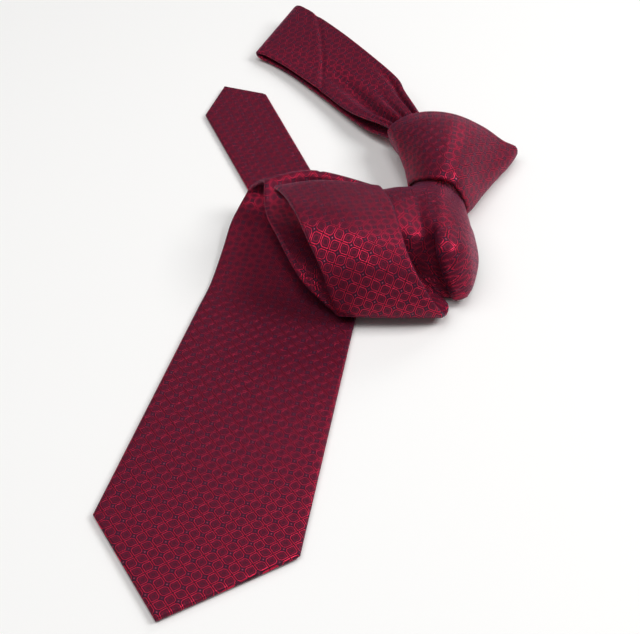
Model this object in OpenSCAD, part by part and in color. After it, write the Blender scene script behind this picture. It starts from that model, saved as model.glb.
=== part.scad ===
// Necktie, knotted and laid on a table: front blade, loose roll, knot, neck loop and tail.
// Origin: on the table, under the middle of the blade where it runs in below the roll.

/* [Front blade] */
// Width of the blade at its two shoulders
blade_w = 80; // [60:1:96]
// Straight length from the roll to the shoulders
blade_len = 95; // [70:1:120]
// Width that the blade loses in each millimetre of length
blade_taper = 0.0925; // [0.04:0.0025:0.11]
// Direction of the blade on the table, degrees from the Y axis
blade_turn = 12.6; // [8:0.2:16]
// Length of lining that shows above the shoulders on the back
tipping_len = 34; // [20:1:40]
// Width of the folded hem around the lining
hem_w = 9; // [6:0.5:11]

/* [Cloth] */
// Thickness of one layer of tie, both faces and the interlining
tie_t = 3; // [2.4:0.1:3.6]
// Thickness of the outer cloth
cloth_t = 0.5; // [0.4:0.05:0.7]
// Thickness of one layer of the neck band
neck_t = 2.6; // [2:0.1:3.2]
// Gap between two pieces that move apart
gap = 0.4; // [0.3:0.05:0.6]
// Thickness of the ridge where two lengths of cloth are joined
seam_t = 0.5; // [0.4:0.05:0.8]

/* [Keeper and stitches] */
// Length of the keeper band across the back of the blade
keeper_l = 44; // [34:1:52]
// Width of the keeper band
keeper_w = 12; // [8:0.5:16]
// Distance from the roll to the keeper's centre
keeper_y = 34; // [28:1:40]
// Width of the seam slit down the back
slit_w = 1.4; // [1:0.1:2]
// Width of the slip-stitch thread
thread_w = 0.7; // [0.5:0.05:0.8]
// Length of a bar tack
tack_l = 7; // [5:0.5:9]
// Width of a bar tack
tack_w = 1.6; // [1:0.1:2]

/* [Tail] */
// Width of the tail at its shoulders
tail_w = 36; // [30:1:44]
// Straight length of the tail that lifts
tail_len = 55; // [42:1:70]
// Length of tail that lies under the roll
tail_hidden = 55; // [40:1:60]
// Direction of the tail on the table, degrees from the Y axis
tail_turn = 20.2; // [16:0.2:24]
// Width that the tail loses in each millimetre of length
tail_taper = 0.025; // [0:0.005:0.04]
// Length of lining that shows above the tail's shoulders on the back
tail_lining_len = 20; // [12:1:28]
// Width of the folded hem around the tail's lining
tail_hem_w = 5; // [4:0.5:8]

/* [Knot] */
// Greatest height of the knot
knot_h = 30; // [24:0.5:36]
// Thickness of the cloth wrapped around the knot
knot_wall = 1.6; // [1.2:0.1:2]

/* [Hidden] */
eps = 0.01;
steps = 4;                        // rings between two chosen stations
drawn_w = 80;                     // blade width at which the stations were laid out
width_scale = blade_w / drawn_w;
drawn_t = 3;                      // layer thickness at which the stations were laid out
rise = max(0, tie_t - drawn_t);   // extra thickness, which lifts the roll off the tail below it
drawn_h = 30;                     // knot height at which the neck root was laid out
knot_scale = min(1, knot_h / drawn_h);
drawn_tail_w = 36;                // tail width at which its hidden end was placed
fold_rise = 0.7;                  // how far a fold's top edge swings for each mm above its hinge
fold_room = rise * fold_rise;
hinge_v = -17;                    // place of the blade's fold line along the blade
blade_dir = [sin(blade_turn), cos(blade_turn)];
blade_across = [cos(blade_turn), -sin(blade_turn)];
cut_w = blade_w - blade_taper * blade_len;
tail_shoulder = [-22, 174.3];     // middle of the tail's shoulders
tail_dir = [-sin(tail_turn), cos(tail_turn)];
tail_across = [cos(tail_turn), sin(tail_turn)];
tail_fold = tail_shoulder - tail_dir * tail_len;
tail_cut_w = tail_w - tail_taper * tail_len;
// A wider tail ends sooner, so its corner stays clear of the roll
tail_under = tail_hidden - max(0, tail_w - drawn_tail_w) / 2;
tail_end_w = tail_cut_w - tail_taper * tail_under;
mouth = [60.5, 144.5];            // middle of the knot's mouth, where the neck band goes in
neck_dir = [-0.524, 0.852];
neck_across = [0.852, 0.524];
neck_fold_u = 12;                 // fold line of the neck loop, measured from the mouth
wine = [0.42, 0.05, 0.11];
wool = [0.85, 0.82, 0.74];
lining = [0.16, 0.05, 0.09];
thread = [0.3, 0.04, 0.08];

// ---- points and strips ----
function unit(v) = v / norm(v);
function blend4(a, b, c, d, t) =
  0.5 * ((2 * b) + (c - a) * t + (2 * a - 5 * b + 4 * c - d) * t * t
  + (3 * b - a - 3 * c + d) * t * t * t);
function pick(list, i) = list[max(0, min(len(list) - 1, i))];
// A smooth run of points through the chosen ones
function smooth(list) = concat(
  [for (i = [0:len(list) - 2]) for (k = [0:steps - 1])
    blend4(pick(list, i - 1), list[i], list[i + 1], pick(list, i + 2), k / steps)],
  [list[len(list) - 1]]);
// A station is [left edge, right edge]; these spread it by width_k about its middle
function left_of(s, width_k) = (s[0] + s[1]) / 2 - width_k * (s[1] - s[0]) / 2;
function right_of(s, width_k) = (s[0] + s[1]) / 2 + width_k * (s[1] - s[0]) / 2;
function middle_of(s) = (s[0] + s[1]) / 2;
// Four corners around a station, pulled in by inset on every side
function ring(list, i, t, inset) =
  let (s = list[i],
    along = unit(middle_of(pick(list, i + 1)) - middle_of(pick(list, i - 1))),
    across = unit(s[1] - s[0]),
    up = unit(cross(across, along)),
    a = s[0] + across * inset,
    b = s[1] - across * inset,
    h = t / 2 - inset)
  [a - up * h, b - up * h, b + up * h, a + up * h];

// Closed strip through a list of stations
module strip(list, t, inset = 0) {
  rings = [for (i = [0:len(list) - 1]) ring(list, i, t, inset)];
  n = len(rings);
  points = [for (r = rings) for (p = r) p];
  sides = [for (i = [0:n - 2]) for (k = [0:3])
    let (m = (k + 1) % 4, p = 4 * i + k, q = 4 * i + m, r = p + 4, s = q + 4)
    each [[p, q, r], [q, s, r]]];
  ends = [[0, 2, 1], [0, 3, 2],
    [4 * n - 4, 4 * n - 3, 4 * n - 2], [4 * n - 4, 4 * n - 2, 4 * n - 1]];
  polyhedron(points, concat(sides, ends));
}

// Sleeve of cloth around the same strip, open at both ends
module sleeve(list, t, wall) {
  n = len(list);
  points = [for (i = [0:n - 1]) each concat(ring(list, i, t, 0),
    ring(list, i, t, wall))];
  outer = [for (i = [0:n - 2]) for (k = [0:3])
    let (m = (k + 1) % 4, p = 8 * i + k, q = 8 * i + m, r = p + 8, s = q + 8)
    each [[p, q, r], [q, s, r]]];
  inner = [for (f = outer) [f[0] + 4, f[2] + 4, f[1] + 4]];
  last = 8 * (n - 1);
  rims = [for (k = [0:3]) let (m = (k + 1) % 4)
    each [[k, m + 4, m], [k, k + 4, m + 4],
      [last + k, last + m, last + m + 4], [last + k, last + m + 4, last + k + 4]]];
  polyhedron(points, concat(outer, inner, rims));
}

// ---- flat pointed ends ----
// Outline of a pointed end, from its fold line at y = 0 to its point, pulled in by inset
function end_outline(wide, cut, length, inset) = [
  [-(cut / 2 - inset), 0],
  [-(wide / 2 - inset), -length + inset * (sqrt(2) - 1)],
  [0, -length - wide / 2 + inset * sqrt(2)],
  [wide / 2 - inset, -length + inset * (sqrt(2) - 1)],
  [cut / 2 - inset, 0]];
// Lining's outline on the back, which stops short of the fold line
function tipping_outline(wide, length, above, hem) = [
  [-(wide / 2 - hem), -length + above],
  [-(wide / 2 - hem), -length + hem * (sqrt(2) - 1)],
  [0, -length - wide / 2 + hem * sqrt(2)],
  [wide / 2 - hem, -length + hem * (sqrt(2) - 1)],
  [wide / 2 - hem, -length + above]];

module end_window(wide, length, above, hem) {
  translate([0, 0, -eps]) linear_extrude(cloth_t + 2 * eps)
    polygon(tipping_outline(wide, length, above, hem));
}
module end_slit(length, above) {
  translate([-slit_w / 2, -length + above - eps, -eps])
    cube([slit_w, length - above + 1, cloth_t + 2 * eps]);
}
module tack_block(y, length, width, height, low) {
  translate([-length / 2, y - width / 2, low]) cube([length, width, height]);
}
module end_shell(wide, cut, length, t, above, hem) {
  difference() {
    linear_extrude(t) polygon(end_outline(wide, cut, length, 0));
    translate([0, 0, cloth_t]) linear_extrude(t - 2 * cloth_t)
      polygon(concat([[-(cut / 2 - cloth_t), 1]],
        end_outline(wide, cut, length, cloth_t), [[cut / 2 - cloth_t, 1]]));
    end_window(wide, length, above, hem);
    end_slit(length, above);
    tack_block(tack_y(length, above), tack_l + gap, tack_w + gap, cloth_t + 2 * eps, -eps);
  }
}
module end_core(wide, cut, length, t) {
  translate([0, 0, cloth_t]) linear_extrude(t - 2 * cloth_t)
    polygon(end_outline(wide, cut, length, cloth_t));
}
module end_tipping(wide, length, above, hem) {
  linear_extrude(cloth_t)
    polygon(tipping_outline(wide, length, above - gap / 2, hem + gap / 2));
}
function tack_y(length, above) = -length + above + 5;
module end_thread(length, above, stop_y, width) {
  start = tack_y(length, above) + tack_w / 2 + gap;
  translate([-width / 2, start, 0]) cube([width, stop_y - start, cloth_t]);
}

module place_blade() {
  translate([blade_dir[0] * (hinge_v - gap / 2), blade_dir[1] * (hinge_v - gap / 2), 0])
    rotate([0, 0, -blade_turn]) children();
}
module place_tail() {
  translate([tail_fold[0] + tail_dir[0] * gap / 2, tail_fold[1] + tail_dir[1] * gap / 2, 0])
    rotate([0, 0, tail_turn + 180]) children();
}

module blade_shell() color(wine) place_blade() difference() {
  end_shell(blade_w, cut_w, blade_len, tie_t, tipping_len, hem_w);
  tack_block(-keeper_y, keeper_l + gap, keeper_w + gap, cloth_t + 2 * eps, -eps);
}
module blade_interlining() color(wool) place_blade()
  end_core(blade_w, cut_w, blade_len, tie_t);
module blade_tipping() color(lining) place_blade()
  end_tipping(blade_w, blade_len, tipping_len, hem_w);
module keeper_loop() color(wine) place_blade()
  tack_block(-keeper_y, keeper_l, keeper_w, cloth_t, 0);
module blade_bar_tack() color(thread) place_blade()
  tack_block(tack_y(blade_len, tipping_len), tack_l, tack_w, cloth_t, 0);
module blade_slip_stitch() color(thread) place_blade() difference() {
  end_thread(blade_len, tipping_len, -gap, thread_w);
  tack_block(-keeper_y, keeper_l, keeper_w + 2 * gap, cloth_t + 2 * eps, -eps);
}

// ---- roll ----
// Edge of the flat run under the roll, at v along the blade
function blade_edge(v, side, z) =
  let (w = cut_w - blade_taper * (v - hinge_v), p = blade_dir * v + blade_across * side * w / 2)
  [p[0], p[1], z];
flat_v = [hinge_v + gap / 2 + fold_room, -4, 12, 28];
flat_run = [for (v = flat_v) [blade_edge(v, -1, tie_t / 2), blade_edge(v, 1, tie_t / 2)]];
lift = [0, 0, 1.5 * rise];        // all of the tail's extra thickness and half of the roll's own
function widened(list) = [for (s = list)
  [left_of(s, width_scale) + lift, right_of(s, width_scale) + lift]];
rise_and_back_fold = [
  [[-21, 56, 4], [42, 42, 3]],
  [[-17, 72, 6], [45, 58, 6]],
  [[-14, 84, 7], [50, 73, 7]],
  [[-12, 89, 10], [54, 84, 12]],
  [[-11, 88, 15], [54, 88, 20]],
  [[-8, 80, 18], [51, 84, 26]],
  [[-4, 70, 17], [50, 75, 23]]];
middle_layer = [
  [[0, 60, 16], [54, 62, 17]],
  [[4, 50, 15], [57, 50, 14]],
  [[8, 39, 14], [59, 39, 12]],
  [[12, 28, 13], [62, 29, 10]],
  [[17, 20, 11], [65, 21, 8]],
  [[23, 14, 8], [70, 15, 6]]];
front_fold = [
  [[27, 10, 7], [73, 9, 4]],
  [[28, 6, 11], [72, 5, 8]]];
top_layer = [
  [[24, 7, 20], [68, 6, 15]],
  [[20, 14, 30], [62, 11, 25]],
  [[15, 25, 37], [58, 20, 33]],
  [[11, 38, 39], [55, 32, 36]],
  [[6, 54, 37], [52, 48, 36]],
  [[1, 66, 33], [48, 62, 33]],
  [[-1, 71, 28], [46, 69, 29]]];
inner_layer = [
  [[1, 69, 24], [47, 69, 24]],
  [[7, 61, 23], [53, 62, 22]],
  [[16, 50, 24], [60, 51, 20]],
  [[28, 40, 24], [66, 42, 17]],
  [[41, 34, 21], [71, 36, 13]]];
roll_run = concat(smooth(flat_run), smooth(widened(concat(rise_and_back_fold, middle_layer,
  front_fold, top_layer, inner_layer))));
module roll_shell() color(wine) sleeve(roll_run, tie_t, cloth_t);
module roll_interlining() color(wool) strip(roll_run, tie_t, cloth_t);

// ---- strip that leads from the roll to the knot ----
lead_run = smooth([
  [[80, 24, 6], [86, 23, 4]],
  [[77, 28, 15], [90, 33, 6]],
  [[73, 36, 24], [92, 46, 7]],
  [[69, 47, 28], [92, 60, 8]],
  [[66, 62, 26], [90, 72, 9]],
  [[65, 78, 18], [87, 79, 10]],
  [[67, 90, 13], [85, 83, 10]]]);
module lead_shell() color(wine) sleeve(lead_run, tie_t, cloth_t);
module lead_interlining() color(wool) strip(lead_run, tie_t, cloth_t);

// ---- knot ----
knot_sides = [[[53.5, 134], [118, 131]], [[58, 119], [109, 115]],
  [[61.5, 105], [99, 97]], [[63, 93], [89, 79]]];
knot_rise = [0.8, 1, 0.97, 0.87];
knot_points = 24;
// Oval section with a flat-sided look, at place i, pulled in by inset
function knot_ring(i, inset) =
  let (s = knot_sides[i], h = knot_rise[i] * knot_h / 2, m = (s[0] + s[1]) / 2,
    half = norm(s[1] - s[0]) / 2 - inset, dir = unit(s[1] - s[0]))
  [for (k = [0:knot_points - 1]) let (a = 360 * k / knot_points,
    x = half * sign(cos(a)) * pow(abs(cos(a)), 0.7),
    z = (h - inset) * sign(sin(a)) * pow(abs(sin(a)), 0.8))
    [m[0] + dir[0] * x, m[1] + dir[1] * x, h + z]];
function knot_at(t, inset) =
  let (i = min(len(knot_sides) - 2, floor(t)), f = t - i, a = knot_ring(i, inset),
    b = knot_ring(i + 1, inset))
  [for (k = [0:knot_points - 1]) a[k] * (1 - f) + b[k] * f];
core_from = 1.3;
core_to = 2.6;
module knot_wrap() color(wine) {
  n = knot_points;
  rings = [for (i = [0:len(knot_sides) - 1]) each concat(knot_ring(i, 0), knot_ring(i, knot_wall))];
  last = 2 * n * (len(knot_sides) - 1);
  outer = [for (i = [0:len(knot_sides) - 2]) for (k = [0:n - 1])
    let (m = (k + 1) % n, p = 2 * n * i + k, q = 2 * n * i + m, r = p + 2 * n, s = q + 2 * n)
    each [[p, r, q], [q, r, s]]];
  inner = [for (f = outer) [f[0] + n, f[2] + n, f[1] + n]];
  rims = [for (k = [0:n - 1]) let (m = (k + 1) % n)
    each [[k, m, m + n], [k, m + n, k + n],
      [last + k, last + m + n, last + m], [last + k, last + k + n, last + m + n]]];
  polyhedron(rings, concat(outer, inner, rims));
}
module knot_core() color(wool) {
  n = knot_points;
  in = knot_wall + gap;
  stops = [core_from, 2, core_to];
  rings = [for (t = stops) each knot_at(t, in)];
  last = n * (len(stops) - 1);
  sides = [for (i = [0:len(stops) - 2]) for (k = [0:n - 1])
    let (m = (k + 1) % n, p = n * i + k, q = n * i + m, r = p + n, s = q + n)
    each [[p, r, q], [q, r, s]]];
  ends = [for (k = [1:n - 2]) each [[0, k, k + 1], [last, last + k + 1, last + k]]];
  polyhedron(rings, concat(sides, ends));
}

// ---- neck loop ----
// Point at u along the loop and w across it, at height z
function neck_point(p) =
  [mouth[0] + neck_dir[0] * p[0] + neck_across[0] * p[1],
    mouth[1] + neck_dir[1] * p[0] + neck_across[1] * p[1], p[2]];
function neck_station(a, b) = [neck_point(a), neck_point(b)];
loop_start = neck_fold_u + gap;
root_start = neck_fold_u - gap * 0.7;
neck_run = smooth([
  neck_station([loop_start, -13, 10], [loop_start, 12, 14]),
  neck_station([30, -14, 10], [30, 18, 16.5]),
  neck_station([55, -15, 9.5], [55, 19, 16.5]),
  neck_station([78, -17, 9], [84, 19, 16]),
  neck_station([96, -20, 8.5], [108, 17, 14.5]),
  neck_station([102, -21, 6.5], [118, 16, 12]),
  neck_station([102, -21, 3], [119, 16, 8]),
  neck_station([96, -20, 1.8], [110, 16, 5]),
  neck_station([78, -17, 1.8], [84, 16, 5]),
  neck_station([50, -15, 2.5], [50, 14, 6]),
  neck_station([loop_start, -12, 5], [loop_start, 11, 8])]);
neck_root_upper = [
  neck_station([root_start, -11.5, 10.5], [root_start, 12, 14]),
  neck_station([3.5, -8.3, 12.5 * knot_scale], [3.5, 11, 15.5 * knot_scale]),
  neck_station([-14, -7, 14 * knot_scale], [-14, 9.5, 16 * knot_scale])];
neck_root_lower = [
  neck_station([root_start, -11, 5], [root_start, 11, 8]),
  neck_station([3.5, -6.4, 7.5 * knot_scale], [3.5, 10.5, 9.5 * knot_scale]),
  neck_station([-14, -5.5, 8.5 * knot_scale], [-14, 9.5, 10 * knot_scale])];
module neck_shell() color(wine) sleeve(neck_run, neck_t, cloth_t);
module neck_interlining() color(wool) strip(neck_run, neck_t, cloth_t);
module neck_root_shell() color(wine) {
  sleeve(neck_root_upper, neck_t, cloth_t);
  sleeve(neck_root_lower, neck_t, cloth_t);
}
module neck_root_interlining() color(wool) {
  strip(neck_root_upper, neck_t, cloth_t);
  strip(neck_root_lower, neck_t, cloth_t);
}
// Ridge of the bias seam that joins the neck piece, lying on the upper layer
seam_rise = neck_t / 2 + seam_t / 2 + 0.15;
module neck_join_seam() color(thread) strip([
  neck_station([49, -14, 9.9 + seam_rise], [50.5, -14, 9.9 + seam_rise]),
  neck_station([72.5, 0, 12.9 + seam_rise], [74, 0, 12.9 + seam_rise]),
  neck_station([97, 15, 14.8 + seam_rise], [98.5, 15, 14.8 + seam_rise])], seam_t);

// ---- tail ----
function tail_station(v, w, z) =
  let (p = tail_fold - tail_dir * v)
  [[p[0] - tail_across[0] * w / 2, p[1] - tail_across[1] * w / 2, z],
    [p[0] + tail_across[0] * w / 2, p[1] + tail_across[1] * w / 2, z]];
tail_root_run = [tail_station(gap / 2 + fold_room, tail_cut_w, tie_t / 2),
  tail_station(tail_under, tail_end_w, tie_t / 2)];
module tail_root_shell() color(wine) sleeve(tail_root_run, tie_t, cloth_t);
module tail_root_interlining() color(wool) strip(tail_root_run, tie_t, cloth_t);
// Bunched length of tail between the knot and the part that slides
module tail_slack() color(wine) translate([0, 0, rise / 2]) strip(smooth([
  [[38, 61, 1.7], [38, 75, 1.7]],
  [[50, 60, 1.7], [50, 76, 1.7]],
  [[64, 64, 2.4], [60, 78, 2.4]],
  [[78, 74, 3.6], [69, 86, 3.6]]]), tie_t);
module tail_shell() color(wine) place_tail()
  end_shell(tail_w, tail_cut_w, tail_len, tie_t, tail_lining_len, tail_hem_w);
module tail_interlining() color(wool) place_tail()
  end_core(tail_w, tail_cut_w, tail_len, tie_t);
module tail_tipping() color(lining) place_tail()
  end_tipping(tail_w, tail_len, tail_lining_len, tail_hem_w);
module tail_slip_stitch() color(thread) place_tail()
  end_thread(tail_len, tail_lining_len, -gap, thread_w);
module tail_bar_tack() color(thread) place_tail()
  tack_block(tack_y(tail_len, tail_lining_len), tack_l, tack_w, cloth_t, 0);

blade_shell();
blade_interlining();
blade_tipping();
blade_slip_stitch();
blade_bar_tack();
keeper_loop();
roll_shell();
roll_interlining();
lead_shell();
lead_interlining();
knot_wrap();
knot_core();
tail_slack();
neck_root_shell();
neck_root_interlining();
neck_shell();
neck_interlining();
neck_join_seam();
tail_root_shell();
tail_root_interlining();
tail_shell();
tail_interlining();
tail_tipping();
tail_slip_stitch();
tail_bar_tack();
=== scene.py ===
import math

import bmesh
import bpy
from mathutils import Matrix, Vector


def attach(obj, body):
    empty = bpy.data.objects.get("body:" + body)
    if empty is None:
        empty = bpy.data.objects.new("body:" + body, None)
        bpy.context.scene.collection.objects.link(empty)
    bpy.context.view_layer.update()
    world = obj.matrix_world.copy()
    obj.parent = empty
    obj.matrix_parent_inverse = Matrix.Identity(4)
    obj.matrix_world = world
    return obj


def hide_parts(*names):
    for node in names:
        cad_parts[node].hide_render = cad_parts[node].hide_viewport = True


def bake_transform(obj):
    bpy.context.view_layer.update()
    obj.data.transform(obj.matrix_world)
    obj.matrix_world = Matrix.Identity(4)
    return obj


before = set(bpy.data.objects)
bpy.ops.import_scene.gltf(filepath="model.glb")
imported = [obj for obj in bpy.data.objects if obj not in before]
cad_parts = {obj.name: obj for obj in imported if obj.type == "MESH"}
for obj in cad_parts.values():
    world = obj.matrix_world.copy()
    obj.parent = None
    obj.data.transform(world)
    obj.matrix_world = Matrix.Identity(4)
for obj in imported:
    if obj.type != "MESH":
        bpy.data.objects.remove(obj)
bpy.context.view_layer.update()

mm = 0.001
rowSteps, edgeSteps = 16, 64                  # fine steps between chosen rows, and along one row
print("frame loaded:", len(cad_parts), "nodes")


# points stay in millimetres until a mesh is made
def smoothRun(points, t):
    i = min(int(t), len(points) - 2)
    a, b, c, d = (points[max(0, min(len(points) - 1, k))] for k in (i - 1, i, i + 1, i + 2))
    f = t - i
    return 0.5 * (2 * b + (c - a) * f + (2 * a - 5 * b + 4 * c - d) * f * f + (3 * b - a - 3 * c + d) * f ** 3)


def vectors(rows):
    return [[Vector(p) for p in row] for row in rows]


def middle(row):
    return (row[0] + row[-1]) / 2


# rows at an even spacing along a smooth surface through the chosen ones
def evenRows(rows, spacing):
    fine = []
    for k in range((len(rows) - 1) * rowSteps):
        fine.append([smoothRun(line, k / rowSteps) for line in zip(*rows)])
    fine.append(list(rows[-1]))
    reach = [0.0]
    for a, b in zip(fine, fine[1:]):
        reach.append(reach[-1] + (middle(b) - middle(a)).length)
    count = max(2, round(reach[-1] / spacing))
    found, k = [], 0
    for n in range(count + 1):
        want = reach[-1] * n / count
        while k < len(fine) - 2 and reach[k + 1] < want:
            k += 1
        f = (want - reach[k]) / max(1e-9, reach[k + 1] - reach[k])
        found.append([a.lerp(b, min(1, max(0, f))) for a, b in zip(fine[k], fine[k + 1])])
    return found


# fine points along one row, and the length reached at each
def measuredRow(row):
    fine = [smoothRun(row, (len(row) - 1) * k / edgeSteps) for k in range(edgeSteps + 1)]
    reach = [0.0]
    for a, b in zip(fine, fine[1:]):
        reach.append(reach[-1] + (b - a).length)
    return fine, reach


# points across one row, at the given distances from its left edge
def acrossRow(row, distances):
    if len(row) == 2:
        width = (row[1] - row[0]).length
        return [row[0].lerp(row[1], d * (1 / width if width > 1e-6 else 0)) for d in distances]
    fine, reach = measuredRow(row)
    found, k = [], 0
    for d in distances:
        while k < edgeSteps - 1 and reach[k + 1] < d:
            k += 1
        f = (d - reach[k]) / max(1e-9, reach[k + 1] - reach[k])
        found.append(fine[k].lerp(fine[k + 1], f))
    return found


def rowWidth(row):
    if len(row) == 2:
        return (row[1] - row[0]).length
    return measuredRow(row)[1][-1]


# how much of the thickness is left at a distance from a rolled edge
def rolled(distance, radius):
    if distance >= radius:
        return 1.0
    return math.sqrt(max(0.0, 1 - (1 - distance / radius) ** 2))


# bands in a rolled edge, its greatest share of the width, height of the lowest cloth, and welding distance
sewing = {"bands": 5, "edgeShare": 0.45, "table": 0.05, "weld": 2e-6}


# One piece of folded cloth: a grid whose columns run across the face, round the right edge and back
# along the underside, so the pattern turns over the edges as the cloth does.
def sewSheet(name, rows, style, shape=None):
    half, roll = style["thick"] / 2, style["edge"]
    n, bands = style["columns"], sewing["bands"]
    reach = [0.0]
    for a, b in zip(rows, rows[1:]):
        reach.append(reach[-1] + (middle(b) - middle(a)).length)
    length = reach[-1]
    points, widths, spread = [], [], []
    for row in rows:
        w = max(rowWidth(row), 1e-5)
        r = min(roll, w * sewing["edgeShare"])
        edge = [r * (1 - math.cos(math.pi / 2 * k / bands)) for k in range(bands)]
        inner = [r + (w - 2 * r) * k / (n - 2 * bands) for k in range(n - 2 * bands + 1)]
        distances = edge + inner + [w - d for d in reversed(edge)]
        points.append(acrossRow(row, distances))
        widths.append(w)
        spread.append(distances)
    last = len(rows) - 1
    normals = []
    for j in range(last + 1):
        line = []
        for c in range(n + 1):
            run = points[min(last, j + 1)][c] - points[max(0, j - 1)][c]
            side = points[j][min(n, c + 1)] - points[j][max(0, c - 1)]
            up = side.cross(run)
            line.append(up.normalized() if up.length > 1e-7 else None)
        good = [v for v in line if v is not None]
        line = [v if v is not None else (good[0] if good else None) for v in line]
        normals.append(line)
    for j in list(range(1, last + 1)) + list(range(last - 1, -1, -1)):
        near = normals[max(0, j - 1)] if normals[max(0, j - 1)][0] is not None else normals[min(last, j + 1)]
        normals[j] = [v if v is not None else near[c] for c, v in enumerate(normals[j])]
    bm = bmesh.new()
    bmesh.ops.create_grid(bm, x_segments=2 * n, y_segments=last, size=1)
    bm.verts.ensure_lookup_table()
    place = {}
    for v in bm.verts:
        i, j = round((v.co.x + 1) * n), round((v.co.y + 1) / 2 * last)
        place[v.index] = (i, j)
    for v in bm.verts:
        i, j = place[v.index]
        c = i if i <= n else 2 * n - i
        side = 1 if i <= n else -1
        t, w = spread[j][c], widths[j]
        h = half * rolled(min(t, w - t), min(roll, w * sewing["edgeShare"]))
        h *= rolled(reach[j], roll)
        h *= rolled(length - reach[j], roll)
        lift = shape(reach[j], t, w, side) if shape else 0
        v.co = (points[j][c] + normals[j][c] * (side * h + lift)) * mm
        v.co.z = max(v.co.z, sewing["table"] * mm)    # cloth that touches the table lies flat on it
    flatRows = style.get("flatRows", 0)
    turn, lean = [], []
    for j in range(last + 1):
        run = middle(rows[min(last, j + 1)]) - middle(rows[max(0, j - 1)])
        side = rows[j][-1] - rows[j][0]
        k = 0.0
        if style.get("slanted", True) and run.length > 1e-6 and side.length > 1e-6:
            k = run.normalized().dot(side.normalized())
        if j < flatRows:                        # flat cloth keeps its pattern straight
            k = 0.0
            level = rows[flatRows // 2]
            off = middle(rows[j]) - middle(rows[flatRows - 1])
            lean.append(off.dot(level[-1] - level[0]) / widths[flatRows // 2])
        else:
            lean.append(0.0)
        turn.append(k)
    # on a layer that fans out, each column carries its own length instead of the row's slant
    fanFrom, fanTo = style.get("fan", (0, -1))
    fanned = {}
    for j in range(fanFrom, fanTo + 1):
        if j == fanFrom:
            fanned[j] = [reach[j] + (spread[j][c] - widths[j] / 2) * turn[j] for c in range(n + 1)]
        else:
            fanned[j] = [fanned[j - 1][c] + (points[j][c] - points[j - 1][c]).length for c in range(n + 1)]
    cloth = bm.loops.layers.uv.new("cloth")
    for face in bm.faces:
        first = min(place[v.index][0] for v in face.verts)
        for loop in face.loops:
            i, j = place[loop.vert.index]
            w, k = widths[j], turn[j]
            c = i if i <= n else 2 * n - i
            t = spread[j][c]
            if first >= n:                      # the underside, up to its seam in the middle
                t = 2 * w - t if first < 1.5 * n else -t
            across = (t - w / 2) * math.sqrt(max(0.0, 1 - k * k)) + lean[j] + style.get("shift", 0)
            along = fanned[j][c] if j in fanned else reach[j] + (t - w / 2) * k
            loop[cloth].uv = (across * mm, along * mm)
    bmesh.ops.remove_doubles(bm, verts=bm.verts, dist=sewing["weld"])
    bmesh.ops.recalc_face_normals(bm, faces=bm.faces)
    for face in bm.faces:
        face.smooth = True
    mesh = bpy.data.meshes.new(name)
    bm.to_mesh(mesh)
    bm.free()
    piece = bpy.data.objects.new(name, mesh)
    bpy.context.scene.collection.objects.link(piece)
    area = sum((reach[j + 1] - reach[j]) * 0.5 * (widths[j] * math.sqrt(1 - turn[j] ** 2)
               + widths[j + 1] * math.sqrt(1 - turn[j + 1] ** 2)) for j in range(last))
    piece["clothArea"], piece["clothLength"] = area * mm * mm, length * mm
    print(name, "length %.0f mm, widest %.1f mm" % (length, max(widths)),
          "area %.0f mm2, faces %d" % (area, len(mesh.polygons)))
    return piece


# materials
def addNode(tree, kind, **values):
    node = tree.nodes.new("ShaderNode" + kind)
    for key, value in values.items():
        setattr(node, key, value)
    return node


def calc(tree, op, *inputs):
    node = addNode(tree, "Math", operation=op)
    for socket, value in zip(node.inputs, inputs):
        if isinstance(value, (int, float)):
            socket.default_value = value
        else:
            tree.links.new(value, socket)
    return node.outputs[0]


# 0 below low, 1 above high
def ramp(tree, value, low, high):
    node = addNode(tree, "MapRange", interpolation_type="SMOOTHSTEP")
    tree.links.new(value, node.inputs["Value"])
    node.inputs["From Min"].default_value = low
    node.inputs["From Max"].default_value = high
    return node.outputs["Result"]


def newGroup(name, inputs, outputs):
    group = bpy.data.node_groups.new(name, "ShaderNodeTree")
    for label, kind, value in inputs:
        socket = group.interface.new_socket(name=label, in_out="INPUT", socket_type="NodeSocket" + kind)
        if value is not None:
            socket.default_value = value
    for label, kind in outputs:
        group.interface.new_socket(name=label, in_out="OUTPUT", socket_type="NodeSocket" + kind)
    return group, group.nodes.new("NodeGroupInput").outputs, group.nodes.new("NodeGroupOutput").inputs


# a petal's half width, half length and roundness, as shares of the repeat, and where its bands start and end
petal = {"half": 0.345, "length": 0.475, "round": 1.75, "apart": 0.03, "slope": 2.8, "smooth": 0.12,
         "ring": (0.02, 0.07, 0.24, 0.32), "leaf": (0.48, 0.56, 0.80, 0.90), "heart": (0.84, 0.94),
         "line": (0.018, 0.052), "cross": (0.09, 0.15), "spot": (0.035, 0.065), "odd": (0.4, 0.6),
         "faint": 0.35, "leafHigh": 0.7, "crossDeep": 0.6}


# 1 from its second limit to its third, 0 outside the first and the last
def band(tree, value, limits):
    fall = calc(tree, "SUBTRACT", 1.0, ramp(tree, value, *limits[2:]))
    return calc(tree, "MULTIPLY", ramp(tree, value, *limits[:2]), fall)


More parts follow.
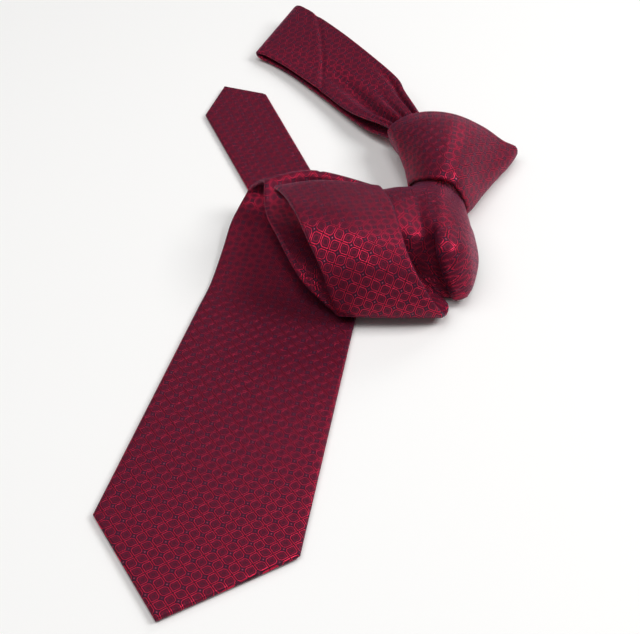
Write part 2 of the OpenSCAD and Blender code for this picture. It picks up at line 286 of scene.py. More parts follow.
# Interlocked circles seen as fat petals: one lies on each side of every square, with a dot in the square
def petalWeave():
    tree, given, out = newGroup("petalWeave", [("Vector", "Vector", None), ("Repeat", "Float", 0.0061)],
                                [("Ring", "Float"), ("Leaf", "Float"), ("Heart", "Float"), ("Cross", "Float"),
                                 ("Dot", "Float"), ("Height", "Float")])
    scaled = addNode(tree, "VectorMath", operation="SCALE")
    tree.links.new(given["Vector"], scaled.inputs[0])
    tree.links.new(calc(tree, "DIVIDE", 1.0, given["Repeat"]), scaled.inputs["Scale"])
    split = addNode(tree, "SeparateXYZ")
    tree.links.new(scaled.outputs[0], split.inputs[0])
    cell, local = [], []
    for axis in (0, 1):
        whole = calc(tree, "FLOOR", split.outputs[axis])
        cell.append(whole)
        part = calc(tree, "SUBTRACT", calc(tree, "SUBTRACT", split.outputs[axis], whole), 0.5)
        local.append(calc(tree, "ABSOLUTE", part))
    far = calc(tree, "MAXIMUM", *local)
    near = calc(tree, "MINIMUM", *local)
    across = calc(tree, "DIVIDE", calc(tree, "SUBTRACT", 0.5, far), petal["half"])
    along = calc(tree, "DIVIDE", near, petal["length"])
    # 1 in the petal's heart, 0 at its edge
    depth = calc(tree, "SUBTRACT", 1.0, calc(tree, "ADD", calc(tree, "POWER", across, petal["round"]),
                                             calc(tree, "POWER", along, petal["round"])))
    # dark lines on the square's diagonals keep neighbouring petals apart
    diagonal = calc(tree, "SUBTRACT", calc(tree, "SUBTRACT", far, near), petal["apart"])
    depth = calc(tree, "SMOOTH_MIN", depth, calc(tree, "MULTIPLY", diagonal, petal["slope"]), petal["smooth"])
    ring, leaf = band(tree, depth, petal["ring"]), band(tree, depth, petal["leaf"])
    heart = ramp(tree, depth, *petal["heart"])
    line = calc(tree, "SUBTRACT", 1.0, ramp(tree, calc(tree, "SUBTRACT", far, near), *petal["line"]))
    cross = calc(tree, "MULTIPLY", line, ramp(tree, near, *petal["cross"]))
    own = calc(tree, "SQRT", calc(tree, "ADD", calc(tree, "MULTIPLY", far, far), calc(tree, "MULTIPLY", near, near)))
    spot = calc(tree, "SUBTRACT", 1.0, ramp(tree, own, *petal["spot"]))
    odd = calc(tree, "ABSOLUTE", calc(tree, "MODULO", calc(tree, "ADD", cell[0], cell[1]), 2.0))
    strong = calc(tree, "MULTIPLY", 1 - petal["faint"], ramp(tree, odd, *petal["odd"]))
    dot = calc(tree, "MULTIPLY", spot, calc(tree, "ADD", petal["faint"], strong))
    raised = calc(tree, "ADD", calc(tree, "ADD", ring, calc(tree, "MULTIPLY", leaf, petal["leafHigh"])), dot)
    height = calc(tree, "SUBTRACT", raised, calc(tree, "MULTIPLY", cross, petal["crossDeep"]))
    for label, value in (("Ring", ring), ("Leaf", leaf), ("Heart", heart), ("Cross", cross), ("Dot", dot),
                         ("Height", height)):
        tree.links.new(value, out[label])
    return tree


# one turn of the ribs, how far they slant, and the size and detail of the uneven places
ribbing = {"turn": 6.2832, "slant": 0.5, "cloud": 900, "detail": 2}


# Fine ribs of the yarn, with small uneven places
def yarnRibs():
    tree, given, out = newGroup("yarnRibs", [("Vector", "Vector", None), ("Yarn", "Float", 0.0004)],
                                [("Height", "Float"), ("Uneven", "Float")])
    split = addNode(tree, "SeparateXYZ")
    tree.links.new(given["Vector"], split.inputs[0])
    turns = calc(tree, "DIVIDE", ribbing["turn"], given["Yarn"])
    slope = calc(tree, "ADD", split.outputs[1], calc(tree, "MULTIPLY", split.outputs[0], ribbing["slant"]))
    wave = calc(tree, "SINE", calc(tree, "MULTIPLY", slope, turns))
    cloud = addNode(tree, "TexNoise")
    cloud.inputs["Scale"].default_value = ribbing["cloud"]
    cloud.inputs["Detail"].default_value = ribbing["detail"]
    tree.links.new(given["Vector"], cloud.inputs["Vector"])
    tree.links.new(wave, out["Height"])
    tree.links.new(cloud.outputs["Fac"], out["Uneven"])
    return tree


petals, ribs = petalWeave(), yarnRibs()


def groupNode(tree, group, vector, **values):
    node = addNode(tree, "Group", node_tree=group)
    tree.links.new(vector, node.inputs["Vector"])
    for key, value in values.items():
        node.inputs[key].default_value = value
    return node


def mixColour(tree, share, a, b):
    node = addNode(tree, "Mix", data_type="RGBA")
    for socket, value in ((node.inputs[0], share), (node.inputs[6], a), (node.inputs[7], b)):
        if isinstance(value, (tuple, int, float)):
            socket.default_value = value
        else:
            tree.links.new(value, socket)
    return node.outputs[2]


silk = {"ground": (0.040, 0.0062, 0.0200, 1), "ring": (0.60, 0.020, 0.060, 1), "leaf": (0.17, 0.009, 0.028, 1),
        "heart": (0.075, 0.0060, 0.0180, 1), "cross": (0.012, 0.0038, 0.0090, 1), "dot": (0.40, 0.07, 0.12, 1),
        "groundRough": 0.58, "ringRough": 0.28, "leafShine": 0.6, "metal": 0.88, "cloud": 0.32,
        "gloss": 0.34, "tint": (1.0, 0.30, 0.46, 1), "index": 1.5,
        "sheen": 0.08, "sheenRough": 0.4, "sheenTint": (0.50, 0.35, 0.85, 1),
        "ribHigh": 0.2, "bump": 0.7, "bumpSize": 0.00012}


def silkCloth():
    material = bpy.data.materials.new("silkCloth")
    material.use_nodes = True
    tree = material.node_tree
    shader = tree.nodes["Principled BSDF"]
    uv = addNode(tree, "UVMap", uv_map="cloth").outputs["UV"]
    weave = groupNode(tree, petals, uv)
    yarn = groupNode(tree, ribs, uv)
    colour = mixColour(tree, weave.outputs["Ring"], silk["ground"], silk["ring"])
    colour = mixColour(tree, weave.outputs["Leaf"], colour, silk["leaf"])
    colour = mixColour(tree, weave.outputs["Heart"], colour, silk["heart"])
    colour = mixColour(tree, weave.outputs["Cross"], colour, silk["cross"])
    colour = mixColour(tree, weave.outputs["Dot"], colour, silk["dot"])
    uneven = calc(tree, "MULTIPLY", yarn.outputs["Uneven"], silk["cloud"])
    colour = mixColour(tree, uneven, colour, silk["ground"])
    tree.links.new(colour, shader.inputs["Base Color"])
    leaf = calc(tree, "MULTIPLY", weave.outputs["Leaf"], silk["leafShine"])
    shine = calc(tree, "MAXIMUM", weave.outputs["Ring"], calc(tree, "MAXIMUM", weave.outputs["Dot"], leaf))
    rough = addNode(tree, "MapRange")
    tree.links.new(shine, rough.inputs["Value"])
    rough.inputs["To Min"].default_value = silk["groundRough"]
    rough.inputs["To Max"].default_value = silk["ringRough"]
    tree.links.new(rough.outputs["Result"], shader.inputs["Roughness"])
    tree.links.new(calc(tree, "MULTIPLY", shine, silk["metal"]), shader.inputs["Metallic"])
    height = calc(tree, "ADD", weave.outputs["Height"], calc(tree, "MULTIPLY", yarn.outputs["Height"], silk["ribHigh"]))
    bump = addNode(tree, "Bump")
    bump.inputs["Strength"].default_value = silk["bump"]
    bump.inputs["Distance"].default_value = silk["bumpSize"]
    tree.links.new(height, bump.inputs["Height"])
    tree.links.new(bump.outputs["Normal"], shader.inputs["Normal"])
    shader.inputs["Sheen Weight"].default_value = silk["sheen"]
    shader.inputs["Sheen Roughness"].default_value = silk["sheenRough"]
    shader.inputs["Sheen Tint"].default_value = silk["sheenTint"]
    shader.inputs["IOR"].default_value = silk["index"]
    shader.inputs["Specular IOR Level"].default_value = silk["gloss"]
    shader.inputs["Specular Tint"].default_value = silk["tint"]
    return material


plain = {"roughSpread": 0.12, "bump": 0.5, "bumpSize": 0.00008}


# smooth lining or thread: fine ribs, and colour and gloss that vary a little
def plainCloth(name, base, deep, rough, ribSize, sheen):
    material = bpy.data.materials.new(name)
    material.use_nodes = True
    tree = material.node_tree
    shader = tree.nodes["Principled BSDF"]
    place = addNode(tree, "TexCoord").outputs["Object"]
    yarn = groupNode(tree, ribs, place, Yarn=ribSize)
    tree.links.new(mixColour(tree, yarn.outputs["Uneven"], deep, base), shader.inputs["Base Color"])
    gloss = addNode(tree, "MapRange")
    tree.links.new(yarn.outputs["Uneven"], gloss.inputs["Value"])
    gloss.inputs["To Min"].default_value = rough + plain["roughSpread"]
    gloss.inputs["To Max"].default_value = rough - plain["roughSpread"]
    tree.links.new(gloss.outputs["Result"], shader.inputs["Roughness"])
    bump = addNode(tree, "Bump")
    bump.inputs["Strength"].default_value = plain["bump"]
    bump.inputs["Distance"].default_value = plain["bumpSize"]
    tree.links.new(yarn.outputs["Height"], bump.inputs["Height"])
    tree.links.new(bump.outputs["Normal"], shader.inputs["Normal"])
    shader.inputs["Sheen Weight"].default_value = sheen
    return material


clothSilk = silkCloth()
tippingSatin = plainCloth("tippingSatin", (0.050, 0.010, 0.022, 1), (0.022, 0.005, 0.012, 1), 0.34, 0.0005, 0.1)
stitchThread = plainCloth("stitchThread", (0.19, 0.018, 0.045, 1), (0.09, 0.010, 0.024, 1), 0.5, 0.00025, 0.2)
print("materials ready")

# blade and roll
blade = {"wide": 80, "taper": 0.0925, "turn": math.radians(12.6), "fold": -17, "bend": 7, "level": 1.7,
         "left": (-40.5, -109.1), "right": (39.2, -111.4), "tip": (-3.35, -149.6), "flatEnd": -9,
         "tipRows": 32, "longRows": 54, "crowd": 1.3,
         "thick": 2.3, "edge": 1.5, "columns": 46, "spacing": 2.0, "shift": 0,
         "hem": 9, "lined": 34, "recess": 0.4, "lap": 1, "pointStart": 4, "pointSlope": 0.7}
backSeam = {"deep": 0.45, "half": 1.2}
bladeAlong = Vector((math.sin(blade["turn"]), math.cos(blade["turn"]), 0))
bladeAcross = Vector((math.cos(blade["turn"]), -math.sin(blade["turn"]), 0))


def bladePoint(w, v, z):
    return bladeAlong * v + bladeAcross * w + Vector((0, 0, z))


# distance of the blade's edge from its middle line, at v along it
def bladeEdge(v, side):
    shoulderW, shoulderV = blade["right"] if side > 0 else blade["left"]
    tipW, tipV = blade["tip"]
    if v < shoulderV:
        return tipW + (shoulderW - tipW) * (v - tipV) / (shoulderV - tipV)
    return shoulderW - side * blade["taper"] / 2 * (v - shoulderV)


def bladeRow(v):
    return [bladePoint(bladeEdge(v, -1), v, blade["level"]), bladePoint(bladeEdge(v, 1), v, blade["level"])]


def bladeRows():
    tipV, bend = blade["tip"][1], blade["left"][1]
    tipRows, longRows = blade["tipRows"], blade["longRows"]
    places = [tipV + (bend - tipV) * (k / tipRows) ** blade["crowd"] for k in range(tipRows + 1)]
    places += [bend + (blade["flatEnd"] - bend) * k / longRows for k in range(1, longRows + 1)]
    return [bladeRow(v) for v in places]


def rollRows():
    flat = [bladeRow(v) for v in (-8, 0, 12, 28)]
    flat = [[a, (a + b) / 2, b] for a, b in flat]
    return flat + vectors([
        [(-23, 56, 3.6), (10, 50, 3.4), (42, 43, 3)], [(-20, 72, 6), (14, 66, 5), (45, 58, 5)],
        [(-16.5, 83, 7.5), (17, 78, 7), (48, 70, 6)],
        [(-13.6, 88, 10.5), (18, 84.5, 11), (49, 76, 9)], [(-11.5, 89, 14), (18.4, 86.5, 17), (49, 80, 13)],
        [(-7, 85.5, 20), (18.5, 85.6, 22), (48, 81.8, 16.5)],
        [(-4.4, 81, 23), (18.3, 83.6, 27.2), (46.4, 80.6, 20.4)],
        [(-4.4, 76.5, 22), (18.8, 80.9, 23), (46, 78.2, 17)],
        [(-4, 70, 19.5), (19.6, 78.2, 16.5), (46.5, 75, 12.5)],
        [(-2.4, 61, 18), (22, 71, 14), (48, 68, 11)], [(1.6, 50, 17.5), (27, 61, 14), (53, 58, 10.5)],
        [(5.6, 38.5, 17), (33, 45, 13), (60, 43, 10)],
        [(11, 27, 14), (39, 30, 14), (66, 29, 10)], [(16, 19.5, 12), (44, 22, 11.5), (71.5, 22, 7.5)],
        [(22.5, 14, 8.5), (49, 16, 8), (76, 18, 5.4)],
        [(27, 11, 6), (51, 12.5, 5.5), (76.6, 14.5, 4.2)],
        [(28.4, 8, 7.5), (51, 8, 6.5), (74.6, 9.5, 5.4)], [(27, 7.5, 12), (49, 6.8, 12.5), (71.5, 7.5, 11)],
        [(25, 9.5, 18), (46, 8, 18.5), (67.5, 8.5, 17)],
        [(21.5, 14, 27.5), (42, 12.3, 28.8), (62, 12, 26)],
        [(15.4, 25, 35.5), (36, 22, 37), (57.5, 20, 33)], [(11, 38, 37.5), (32, 35, 38.8), (55, 32, 36)],
        [(6, 53, 35.5), (28, 51, 37), (52.5, 48, 35.6)],
        [(2, 63, 32.5), (23, 63, 34.5), (49.5, 60.5, 33)], [(0.5, 68, 29), (22, 69.3, 31.5), (48, 68, 29.5)],
        [(2, 67, 26), (23, 69.5, 27.6), (47.6, 70, 25)],
        [(8, 61, 24.6), (29, 63, 25), (50, 64, 22)], [(16, 50, 24.6), (36, 52, 25), (56, 54, 20)]])


# underside of the blade: the lining's place is set in, and the two folded edges meet along the middle
def bladeShape(s, t, w, side):
    if side > 0:
        return 0.0
    shoulder, edgeGap = blade["wide"] / 2, min(t, w - t)
    if s < shoulder + blade["lined"]:
        pointGap = (s - blade["pointStart"]) * blade["pointSlope"]
        inset = min(edgeGap, pointGap) if s < shoulder else edgeGap
        return blade["recess"] if inset > blade["hem"] - blade["lap"] else 0.0
    return backSeam["deep"] if abs(t - w / 2) < backSeam["half"] else 0.0


flatBlade = bladeRows()
blade["flatRows"] = len(flatBlade)
rollEven = evenRows(rollRows(), blade["spacing"])
lipRow = max(range(len(rollEven) // 2), key=lambda j: middle(rollEven[j]).z)
frontRow = min(range(lipRow, len(rollEven)), key=lambda j: middle(rollEven[j]).z)
blade["fan"] = (len(flatBlade) + lipRow, len(flatBlade) + frontRow)
bladeSheet = sewSheet("bladeSheet", flatBlade + rollEven, blade, bladeShape)
bladeSheet.data.materials.append(clothSilk)
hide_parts("blade_shell", "blade_interlining", "roll_shell", "roll_interlining")
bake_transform(bladeSheet)

# strip that leads from the knot down to the front corner, with its pleat
lead = {"thick": 2.2, "edge": 1.3, "columns": 72, "spacing": 1.3, "slanted": False, "shift": 3.0}
leadRows = vectors([
    [(66, 99, 9), (67.5, 98.5, 14), (70, 98, 18), (73, 97, 21), (76.5, 96, 22), (80, 95, 21.5), (83, 94.5, 18),
     (85, 94, 13), (86, 94, 8)],
    [(62.5, 89, 10), (64.3, 86, 15), (67, 83.2, 19.5), (71, 80.8, 22.5), (75, 78.8, 23.5), (79.5, 77, 22.5),
     (83.5, 76.5, 18.5), (86.5, 78, 13), (87.8, 80.5, 7)],
    [(50, 80, 18), (55, 74, 24), (60, 69, 27), (65, 66, 27.4), (70, 65, 28), (75.5, 64.5, 27.5), (80.5, 65, 24.5),
     (85.5, 67.5, 18.5), (88.6, 73, 8)],
    [(45, 66, 27), (52, 60, 29.5), (58.5, 56.5, 29.5), (64.5, 55, 28.6), (69.6, 54.3, 29.6), (75.2, 54.2, 29.6),
     (80.9, 55, 26), (85.8, 58.5, 19.5), (89.2, 67, 8)],
    [(46, 45, 29), (52, 42, 28.6), (59, 40.5, 27.4), (65.5, 41, 25.8), (69.8, 40.6, 28.4), (73.4, 40, 30.2),
     (80, 43.5, 28), (86.2, 49, 20.6), (90.3, 60, 8)],
    [(46, 38, 20), (54, 36, 19), (62, 35, 17.8), (69.5, 36, 16.6), (75.5, 35.5, 17.5), (71.6, 29.2, 27.4),
     (77, 27.6, 28.6), (84.4, 32.5, 23), (91, 45, 8)],
    [(52, 32, 9), (60, 31, 9), (68, 30.5, 9), (75, 30.5, 9), (79.5, 30, 10), (74.6, 23.4, 17.8), (79.4, 21.6, 18.8),
     (85.6, 26.6, 14.8), (89.5, 36, 6)],
    [(58, 27, 3.4), (66, 26, 3.6), (73, 25.5, 3.8), (78, 25.5, 3.8), (81, 25, 4), (78.4, 20, 7.9), (81.2, 19.2, 8.5),
     (84.6, 22, 6.8), (86.5, 28, 3.7)],
    [(58, 29, 2), (66, 28, 1.8), (73, 27, 1.8), (77, 26.5, 1.8), (79, 26, 1.8), (80, 24.5, 2.2), (81.5, 24.5, 2.2),
     (83, 26, 2.2), (84, 30, 2.2)]])
leadSheet = sewSheet("leadSheet", evenRows(leadRows, lead["spacing"]), lead)
leadSheet.data.materials.append(clothSilk)
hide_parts("lead_shell", "lead_interlining")
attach(leadSheet, "tied")

# knot
knot = {"thick": 1.6, "edge": 0.9, "columns": 90, "spacing": 1.5, "slanted": False, "shift": 1.0}


# closed row round the knot: underside, left side, top with its chosen points, right side
def knotRow(left, right, top, base, inset):
    under = [((left[0] + right[0]) / 2, (left[1] + right[1]) / 2, base)]
    leftLow = (left[0] + inset, left[1] - 0.5, base + 0.3)
    rightLow = (right[0] - 4, right[1] + 0.5, base + 0.2)
    return under + [leftLow, left] + top + [right, rightLow] + under


knotRows = vectors([
    knotRow((63.4, 94.5, 10), (88.6, 80, 8), [(64.6, 89.5, 17), (68.5, 83.2, 22.5), (73, 79.6, 25.2), (77.6, 77.4, 26),
            (82, 76, 24.2), (86.2, 76.4, 17.5)], 1.2, 4),
    knotRow((63, 99, 11), (93, 86, 8), [(64.6, 94.5, 18.5), (69, 89, 24.5), (74, 85.4, 27.6), (79, 83, 28.6),
            (84.4, 82, 26.2), (89.6, 82.6, 18)], 1.1, 6),
    knotRow((61.8, 106, 13), (99, 97, 8), [(63.8, 102.5, 20.5), (69.5, 98.5, 27), (75.5, 96.2, 29.4), (81.5, 95, 29.6),
            (88.5, 94.2, 25.8), (95, 95, 16.4)], 1, 8),
    knotRow((59.6, 115, 14.5), (106, 109, 8), [(62, 112.5, 21), (69, 110.5, 27.2), (76, 109.5, 29.2), (84, 109, 28.8),
            (93, 108, 24.2), (101, 108, 15)], 1, 9),
    knotRow((57, 125, 15.5), (113.5, 121, 8), [(59.6, 124, 21), (67.5, 124.5, 26), (77, 124.6, 27.4), (87, 123.6, 26.4),
            (97.5, 122, 21.4), (107, 121.2, 13.2)], 1, 9),
    knotRow((54.6, 133, 14.5), (118, 130.5, 7.5), [(57.4, 136, 18.6), (66, 138.2, 22.2), (77, 138.8, 23.2),
            (89, 137, 21.8), (101.5, 133.6, 17.2), (111, 131.6, 11)], 1.1, 8)])
knotWrap = sewSheet("knotWrap", evenRows(knotRows, knot["spacing"]), knot)
knotWrap.data.materials.append(clothSilk)
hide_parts("knot_wrap", "knot_core")
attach(knotWrap, "tied")

# neck loop
neck = {"thick": 1.9, "edge": 1.2, "columns": 56, "spacing": 1.4, "mouth": Vector((60.5, 144.5, 0)),
        "along": Vector((-0.524, 0.852, 0)), "across": Vector((0.852, 0.524, 0)), "shift": 0.5,
        "inside": 16, "bend": (5, 19), "bendLevel": 16, "fade": 1.2}


def neckPoint(u, w, z):
    return neck["mouth"] + neck["along"] * u + neck["across"] * w + Vector((0, 0, z))


def neckRows():
    chosen = [[(-16, -6.5, 14.5), (-16, 9.5, 16.5)], [(-5, -7.5, 14.5), (-4, 10, 16.5)],
              [(5, -9.5, 13.5), (7, 12.5, 16.5)], [(17, -12, 11), (18, 15.5, 16)],
              [(32, -12.8, 8), (30, 18.7, 16.5)], [(57.5, -13.4, 6.6), (55, 19.3, 16.5)],
              [(80.5, -15.6, 6), (84, 19, 16)], [(96.5, -18.8, 6), (110, 17.8, 14.8)],
              [(103, -21, 5.6), (123, 17, 13.4)],
              [(104.8, -22, 4.4), (127.2, 16.6, 10.6)], [(102.5, -20.6, 2.5), (123.5, 16.4, 7.2)],
              [(95, -17.4, 1.7), (112, 16.2, 5.2)], [(78, -14, 1.6), (84, 16, 5)],
              [(50, -12, 2.3), (50, 15.5, 6.5)], [(28, -11.4, 3.4), (28, 15, 8)], [(12, -10.5, 5), (12, 13, 9)],
              [(0, -8, 7), (0, 10.5, 10)], [(-16, -5.5, 8.5), (-16, 9.5, 10)]]
    return [[neckPoint(*a), neckPoint(*b)] for a, b in chosen]


# valleys that run out of the mouth: where each starts and ends across the band, how far along, depth and width
neckPleats = [{"from": 0.30, "to": 0.33, "reach": 84, "deep": 5.2, "slim": 0.085, "wide": 0.17},
              {"from": 0.55, "to": 0.62, "reach": 40, "deep": 2.2, "slim": 0.05, "wide": 0.08},
              {"from": 0.85, "to": 0.90, "reach": 60, "deep": 3.2, "slim": 0.035, "wide": 0.05},
              {"from": 0.08, "to": 0.06, "reach": 46, "deep": 1.8, "slim": 0.05, "wide": 0.06}]
# slanted seam where two lengths of cloth are joined: its two ends on the upper layer, depth and half width
neckJoin = {"from": (51, -13.4), "to": (101, 18.6), "deep": 0.8, "half": 0.9, "until": 110, "left": -13.6,
            "band": 32.6, "square": 0.54, "ridge": 0.3, "ridgeOff": 2.2, "ridgeHalf": 1.6}


def neckShape(s, t, w, side):
    lift = 0.0
    f = t / w
    u = s - neck["inside"]
    for pleat in neckPleats:
        k = min(1, max(0, u / pleat["reach"]))
        if u > pleat["reach"]:
            continue
        centre = pleat["from"] + (pleat["to"] - pleat["from"]) * k
        width = pleat["slim"] + (pleat["wide"] - pleat["slim"]) * k
        lift -= pleat["deep"] * (1 - k) ** neck["fade"] * math.exp(-((f - centre) / width) ** 2)
    if side > 0 and u < neckJoin["until"]:
        (startU, startW), (endU, endW) = neckJoin["from"], neckJoin["to"]
        across = neckJoin["left"] + f * neckJoin["band"]
        lineU = startU + (endU - startU) * (across - startW) / (endW - startW)
        off = (u - lineU) * neckJoin["square"]
        lift -= neckJoin["deep"] * math.exp(-(off / neckJoin["half"]) ** 2)
        lift += neckJoin["ridge"] * math.exp(-((off - neckJoin["ridgeOff"]) / neckJoin["ridgeHalf"]) ** 2)
    return lift


neckSheet = sewSheet("neckSheet", evenRows(neckRows(), neck["spacing"]), neck, neckShape)
neckSheet.data.materials.append(clothSilk)
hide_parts("neck_root_shell", "neck_root_interlining", "neck_shell", "neck_interlining",
            "neck_join_seam")
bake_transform(neckSheet)

# tail
tail = {"wide": 36, "long": 55, "hidden": 53, "taper": 0.025, "turn": math.radians(20.2), "bend": 6, "level": 1.6,
        "left": (-17, -0.9), "right": (18.3, 6.6), "tip": (0, 21.2), "tipRows": 20, "longRows": 53, "crowd": 1.3,
        "thick": 2.1, "edge": 1.4, "columns": 30, "shift": 2.0, "hem": 5, "lined": 20}
tailAlong = Vector((-math.sin(tail["turn"]), math.cos(tail["turn"]), 0))
tailAcross = Vector((math.cos(tail["turn"]), math.sin(tail["turn"]), 0))
tailShoulder = Vector((-22, 174.3, tail["level"]))


def tailRow(v, left, right):
    return [tailShoulder + tailAlong * v + tailAcross * left, tailShoulder + tailAlong * v + tailAcross * right]


# distance of the tail's edge from its middle line, at v past its shoulders
def tailEdge(v, side):
    shoulderW, shoulderV = tail["right"] if side > 0 else tail["left"]
    tipW, tipV = tail["tip"]
    if v > shoulderV:
        return tipW + (shoulderW - tipW) * (tipV - v) / (tipV - shoulderV)
    return shoulderW + side * tail["taper"] / 2 * (v - shoulderV)


def tailRows():
    start, tipV = -(tail["long"] + tail["hidden"]), tail["tip"][1]
    bend = tail["left"][1]
    tipRows, longRows = tail["tipRows"], tail["longRows"]
    places = [start + (bend - start) * k / longRows for k in range(longRows + 1)]
    places += [bend + (tipV - bend) * (1 - (1 - k / tipRows) ** tail["crowd"]) for k in range(1, tipRows + 1)]
    return [tailRow(v, tailEdge(v, -1), tailEdge(v, 1)) for v in places]


flatTail = tailRows()
tail["flatRows"] = len(flatTail)
tailSheet = sewSheet("tailSheet", flatTail, tail)
tailSheet.data.materials.append(clothSilk)
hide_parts("tail_root_shell", "tail_root_interlining", "tail_shell", "tail_interlining")
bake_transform(tailSheet)

# tail slack: the bunched length between the knot and the part of the tail that slides
slack = {"thick": 2.4, "edge": 1.1, "columns": 20, "spacing": 1.6, "shift": 1.0, "wave": 0.35, "alongTurn": 0.55,
         "acrossTurn": 0.35}
slackRows = vectors([[(38, 61, 1.7), (38, 75, 1.7)], [(50, 60, 1.7), (50, 76, 1.7)], [(64, 64, 2.4), (60, 78, 2.4)],
                     [(78, 74, 3.6), (69, 86, 3.6)]])


def slackShape(s, t, w, side):
    return slack["wave"] * math.sin(s * slack["alongTurn"] + t * slack["acrossTurn"]) if side > 0 else 0.0


tailSlack = sewSheet("tailSlack", evenRows(slackRows, slack["spacing"]), slack, slackShape)
tailSlack.data.materials.append(clothSilk)
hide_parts("tail_slack")
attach(tailSlack, "tied")

# linings on the back, set in inside the folded hems
lining = {"thick": 0.3, "edge": 0.12, "columns": 24, "slanted": False, "level": 0.78, "tipHem": 1.45,
          "shoulderHem": 0.4, "rightHem": 0.6, "crowd": 1.15, "bladeRows": 60, "tailRows": 40}


def bladeLiningRows():
    hem, above = blade["hem"], blade["lined"]
    tipW, tipV = blade["tip"]
    start, bend = tipV + hem * lining["tipHem"], blade["left"][1]
    rows, count = [], lining["bladeRows"]
    for k in range(count + 1):
        v = start + (bend + above - start) * (k / count) ** lining["crowd"]
        f = min(1.0, max(0.0, (v - start) / (bend + hem * lining["shoulderHem"] - start)))
        left = (blade["wide"] / 2 - hem) * f
        right = (blade["wide"] / 2 - hem - lining["rightHem"]) * f
        middleW = tipW * (1 - f)
        rows.append([bladePoint(middleW - left, v, lining["level"]), bladePoint(middleW + right, v, lining["level"])])
    return rows


def tailLiningRows():
    hem, above = tail["hem"], tail["lined"]
    end, bend = tail["tip"][1] - hem * lining["tipHem"], tail["left"][1]
    rows, count = [], lining["tailRows"]
    for k in range(count + 1):
        v = bend - above + (end - bend + above) * (1 - (1 - k / count) ** lining["crowd"])
        f = min(1.0, max(0.0, (end - v) / (end - bend + hem * lining["shoulderHem"])))
        half = (tail["wide"] / 2 - hem) * f
        place = tailShoulder + tailAlong * v
        place.z = lining["level"]
        rows.append([place - tailAcross * half, place + tailAcross * half])
    return rows


for name, rows, node, body in (("bladeTipping", bladeLiningRows(), "blade_tipping", "blade"),
                               ("tailTipping", tailLiningRows(), "tail_tipping", "tail")):
    tipping = sewSheet(name, rows, lining)
    tipping.data.materials.append(tippingSatin)
    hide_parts(node)
    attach(tipping, body)

# keeper across the back of the blade, a folded band of the same silk
keeper = {"long": 44, "wide": 12, "at": -51.2, "thick": 0.4, "edge": 0.18, "columns": 16, "level": 0.27, "shift": 2.2,
          "rows": 40}


def keeperRow(k):
    w = -keeper["long"] / 2 + keeper["long"] * k / keeper["rows"]
    return [bladePoint(w, keeper["at"] + keeper["wide"] / 2, keeper["level"]),
            bladePoint(w, keeper["at"] - keeper["wide"] / 2, keeper["level"])]


keeperBand = sewSheet("keeperBand", [keeperRow(k) for k in range(keeper["rows"] + 1)], keeper)
keeperBand.data.materials.append(clothSilk)
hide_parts("keeper_loop")
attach(keeperBand, "blade")

# stitches: each is a small tapered grain of thread
stitch = {"long": 2.6, "wide": 0.55, "high": 0.32, "pitch": 5.2, "lean": math.radians(24), "level": 0.34,
          "bladeEnd": -18.5, "bladeStart": 3, "tailEnd": 1.5, "tailStart": 2.5, "keeperGap": 7.5}
# four stitches hold each end of the keeper
keeperStitch = {"inset": 0.8, "pitch": 2.6, "level": 0.17, "long": 2.0, "wide": 0.5, "high": 0.24}
tack = {"long": 7.0, "wide": 1.6, "level": 0.3, "past": 5, "count": 11, "overlap": 1.15, "high": 0.42,
        "apart": 0.3, "sunk": 0.02, "coreWide": 0.5, "coreHigh": 0.3}


def addGrain(bm, centre, along, length, wide, high):
    made = bmesh.ops.create_uvsphere(bm, u_segments=8, v_segments=6, radius=0.5)
    across = Vector((-along.y, along.x, 0))
    turn = Matrix((across, along, Vector((0, 0, 1)))).transposed().to_4x4()
    size = Matrix.Diagonal((wide, length, high, 1))
    stand = Matrix.Rotation(math.pi / 2, 4, "X")          # the sphere's poles become the grain's two ends
    bmesh.ops.transform(bm, matrix=Matrix.Translation(centre) @ turn @ size @ stand, verts=made["verts"])


def stitchPiece(name, grains, node, body):
    bm = bmesh.new()
    for grain in grains:
        addGrain(bm, *grain)
    bmesh.ops.scale(bm, vec=(mm, mm, mm), verts=bm.verts)
    bmesh.ops.recalc_face_normals(bm, faces=bm.faces)
    for face in bm.faces:
        face.smooth = True
    mesh = bpy.data.meshes.new(name)
    bm.to_mesh(mesh)
    bm.free()
    piece = bpy.data.objects.new(name, mesh)
    bpy.context.scene.collection.objects.link(piece)
    mesh.materials.append(stitchThread)
    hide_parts(node)
    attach(piece, body)
    print(name, len(grains), "stitches")


def seamGrains(place, along, start, end, skip=None):
    lean = Matrix.Rotation(stitch["lean"], 3, "Z") @ along
    grains, v = [], start
    while v < end:
        if not skip or not skip[0] < v < skip[1]:
            grains.append((place(v), lean, stitch["long"], stitch["wide"], stitch["high"]))
        v += stitch["pitch"]
    return grains


# bar tack: close stitches side by side over two long ones
def tackGrains(centre, along, across):
    length, count = tack["long"], tack["count"]
    grains = [(centre + across * (length * (k + 0.5) / count - length / 2), along, tack["wide"],
               length / count * tack["overlap"], tack["high"]) for k in range(count)]
    return grains + [(centre + along * side * tack["apart"] - Vector((0, 0, tack["sunk"])), across, length,
                      tack["coreWide"], tack["coreHigh"]) for side in (-1, 1)]


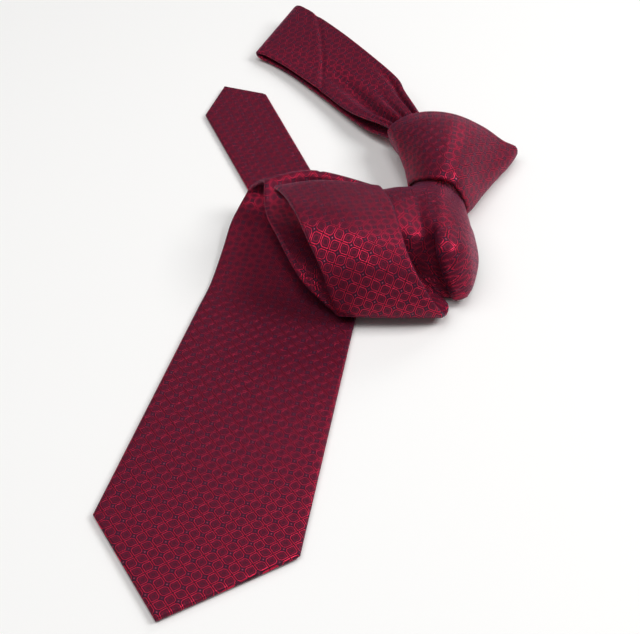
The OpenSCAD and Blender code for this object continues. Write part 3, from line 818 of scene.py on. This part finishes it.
bladeTack = blade["left"][1] + blade["lined"] + tack["past"]
bladeStitches = seamGrains(lambda v: bladePoint(0, v, stitch["level"]), bladeAlong, bladeTack + stitch["bladeStart"],
                           stitch["bladeEnd"], (keeper["at"] - stitch["keeperGap"], keeper["at"] + stitch["keeperGap"]))
for side in (-1, 1):
    for k in (-1.5, -0.5, 0.5, 1.5):
        spot = bladePoint(side * (keeper["long"] / 2 - keeperStitch["inset"]),
                          keeper["at"] + k * keeperStitch["pitch"], keeperStitch["level"])
        bladeStitches.append((spot, bladeAlong, keeperStitch["long"], keeperStitch["wide"], keeperStitch["high"]))
stitchPiece("bladeSlipStitch", bladeStitches, "blade_slip_stitch", "blade")
stitchPiece("bladeBarTack", tackGrains(bladePoint(0, bladeTack, tack["level"]), bladeAlong, bladeAcross),
            "blade_bar_tack", "blade")
tailBack = tailShoulder - Vector((0, 0, tail["level"] - stitch["level"]))
tailTack = -tail["lined"] - tack["past"]
tailStitches = seamGrains(lambda v: tailBack + tailAlong * v, tailAlong, -tail["long"] + stitch["tailEnd"],
                          tailTack - stitch["tailStart"])
stitchPiece("tailSlipStitch", tailStitches, "tail_slip_stitch", "tail")
stitchPiece("tailBarTack", tackGrains(tailBack + tailAlong * tailTack, tailAlong, tailAcross), "tail_bar_tack",
            "tail")

# stage, lights and camera
studio = {"floor": (0.93, 0.925, 0.915, 1), "floorRough": 0.9, "floorGloss": 0.1, "floorSize": 6, "sky": 0.17,
          "aim": (0.03, 0.05, 0), "lens": 78.24, "sensor": 36, "pitch": 48.05, "eye": (21.2, -433.3, 402.4)}
# each light's direction, distance, size and power
lights = {"overheadSoftbox": ((-0.38, -0.12, 1.0), 1.6, 1.2, 9.0),
          "stripSoftbox": ((0.06, -0.27, 1.0), 1.5, 0.42, 3.6),
          "keySoftbox": ((0.70, 0.0, 0.72), 1.5, 0.7, 12.5),
          "backSoftbox": ((0.4, 0.75, 0.55), 1.6, 0.6, 4.0)}


def floorPlane():
    bm = bmesh.new()
    bmesh.ops.create_grid(bm, x_segments=1, y_segments=1, size=studio["floorSize"])
    mesh = bpy.data.meshes.new("floorPlane")
    bm.to_mesh(mesh)
    bm.free()
    piece = bpy.data.objects.new("floorPlane", mesh)
    bpy.context.scene.collection.objects.link(piece)
    paper = bpy.data.materials.new("palePaper")
    paper.use_nodes = True
    shader = paper.node_tree.nodes["Principled BSDF"]
    shader.inputs["Base Color"].default_value = studio["floor"]
    shader.inputs["Roughness"].default_value = studio["floorRough"]
    shader.inputs["Specular IOR Level"].default_value = studio["floorGloss"]
    mesh.materials.append(paper)


def softLight(name, direction, distance, size, power):
    data = bpy.data.lights.new(name, "AREA")
    data.shape, data.size, data.energy = "SQUARE", size, power
    lamp = bpy.data.objects.new(name, data)
    bpy.context.scene.collection.objects.link(lamp)
    aim = Vector(studio["aim"])
    lamp.location = aim + Vector(direction).normalized() * distance
    lamp.rotation_euler = (aim - lamp.location).to_track_quat("-Z", "Y").to_euler()


floorPlane()
for name, values in lights.items():
    softLight(name, *values)
world = bpy.data.worlds.new("studioSky")
world.use_nodes = True
world.node_tree.nodes["Background"].inputs["Color"].default_value = (1, 1, 1, 1)
world.node_tree.nodes["Background"].inputs["Strength"].default_value = studio["sky"]
bpy.context.scene.world = world
bpy.context.scene.view_settings.view_transform = "Standard"
cameraData = bpy.data.cameras.new("camera")
cameraData.lens, cameraData.sensor_width = studio["lens"], studio["sensor"]
camera = bpy.data.objects.new("camera", cameraData)
camera.location = Vector(studio["eye"]) * mm
camera.rotation_euler = (math.radians(studio["pitch"]), 0, 0)
bpy.context.scene.collection.objects.link(camera)
bpy.context.scene.camera = camera
print("stage ready")
